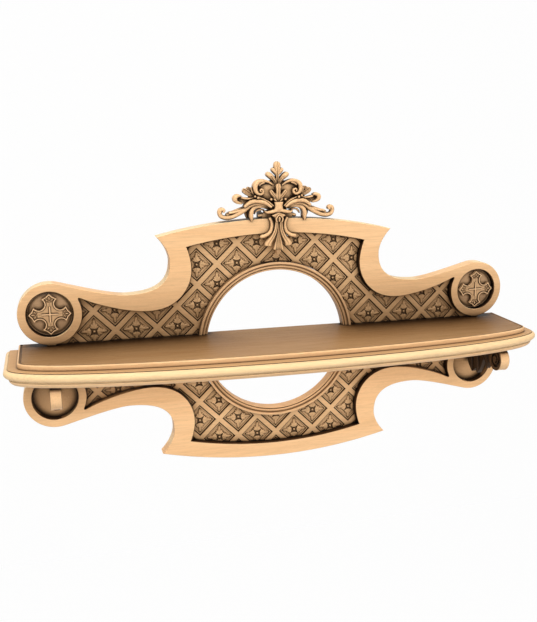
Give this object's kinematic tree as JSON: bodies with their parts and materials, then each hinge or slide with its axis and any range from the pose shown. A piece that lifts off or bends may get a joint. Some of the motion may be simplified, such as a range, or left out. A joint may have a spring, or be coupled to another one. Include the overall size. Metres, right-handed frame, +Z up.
{
  "type": "wall shelf",
  "caption": "Carved wooden wall shelf with a latticed backboard round an open window, a bowed moulded shelf, scroll consoles and an acanthus crest.",
  "frame": {"origin": "middle of the shelf's rear face, in the plane of the wall", "axes": "+X to the viewer's right along the shelf, +Y into the wall, +Z up"},
  "size_m": [0.7078, 0.1457, 0.4075],
  "materials": {
    "carved_wood": "satin oiled pale hardwood",
    "panel_wood": "matt carved pale hardwood, darker in the recesses",
    "dowel_wood": "plain turned beech",
    "steel": "zinc plated"
  },
  "bodies": {
    "root": {"upper_frame": "carved_wood", "lower_frame": "carved_wood", "upper_window_ring": "carved_wood", "lower_window_ring": "carved_wood", "shelf_top_board": "carved_wood", "shelf_bead_board": "carved_wood", "shelf_base_board": "carved_wood", "left_console": "carved_wood", "right_console": "carved_wood", "crest": "carved_wood", "left_medallion_cross": "carved_wood", "right_medallion_cross": "carved_wood", "upper_lattice_panel": "panel_wood", "lower_lattice_panel": "panel_wood", "left_medallion_disc": "panel_wood", "right_medallion_disc": "panel_wood", "upper_dowel_1": "dowel_wood", "upper_dowel_2": "dowel_wood", "upper_dowel_3": "dowel_wood", "upper_dowel_4": "dowel_wood", "lower_dowel_1": "dowel_wood", "lower_dowel_2": "dowel_wood", "lower_dowel_3": "dowel_wood", "lower_dowel_4": "dowel_wood", "left_crest_dowel": "dowel_wood", "right_crest_dowel": "dowel_wood", "left_console_back_screw": "steel", "right_console_back_screw": "steel", "left_console_shelf_screw": "steel", "right_console_shelf_screw": "steel", "left_hanger_plate": "steel", "right_hanger_plate": "steel", "hanger_screw_1": "steel", "hanger_screw_2": "steel", "hanger_screw_3": "steel", "hanger_screw_4": "steel"}
  },
  "joints": []
}
